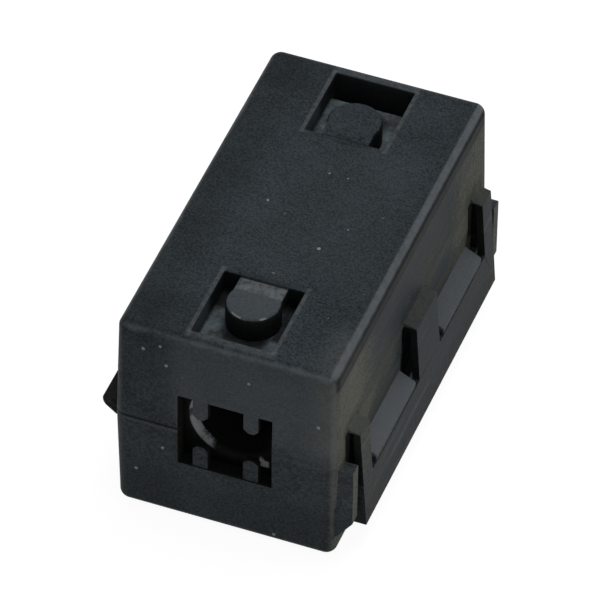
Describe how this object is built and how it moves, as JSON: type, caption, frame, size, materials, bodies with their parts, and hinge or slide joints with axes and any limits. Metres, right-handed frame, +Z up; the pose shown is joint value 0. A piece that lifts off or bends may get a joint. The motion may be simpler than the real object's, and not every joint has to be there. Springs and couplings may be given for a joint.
{
  "type": "clip-on ferrite bead",
  "caption": "Clip-on ferrite bead for a round cable: a black moulded case in halves that folds on a flexible strip, closes with a latch strap and holds ferrite half shells.",
  "frame": {"origin": "middle of the cable passage, on the parting plane of the two halves", "axes": "+X across the case towards the latch strap, +Y along the cable, +Z up through the upper half"},
  "size_m": [0.0206, 0.033, 0.0186],
  "materials": {
    "case_plastic": "satin",
    "ferrite": "matte"
  },
  "bodies": {
    "lower_case": {"lower_case": "case_plastic", "ferrite_lower": "ferrite", "living_hinge": "case_plastic"},
    "upper_case": {"upper_case": "case_plastic", "ferrite_upper": "ferrite"},
    "latch_strap": {"latch_strap": "case_plastic"}
  },
  "joints": [
    {"name": "case_hinge", "type": "hinge", "parent": "lower_case", "child": "upper_case", "pos_m": [-0.0099, 0, 0], "axis": [0, -1, 0], "range_deg": [0, 180], "deforming": ["living_hinge"]},
    {"name": "latch_flex", "type": "hinge", "parent": "upper_case", "child": "latch_strap", "pos_m": [0.00986, 0, 0.0022], "axis": [0, -1, 0], "range_deg": [0, 12], "stiffness_Nm_per_rad": 0.38}
  ]
}
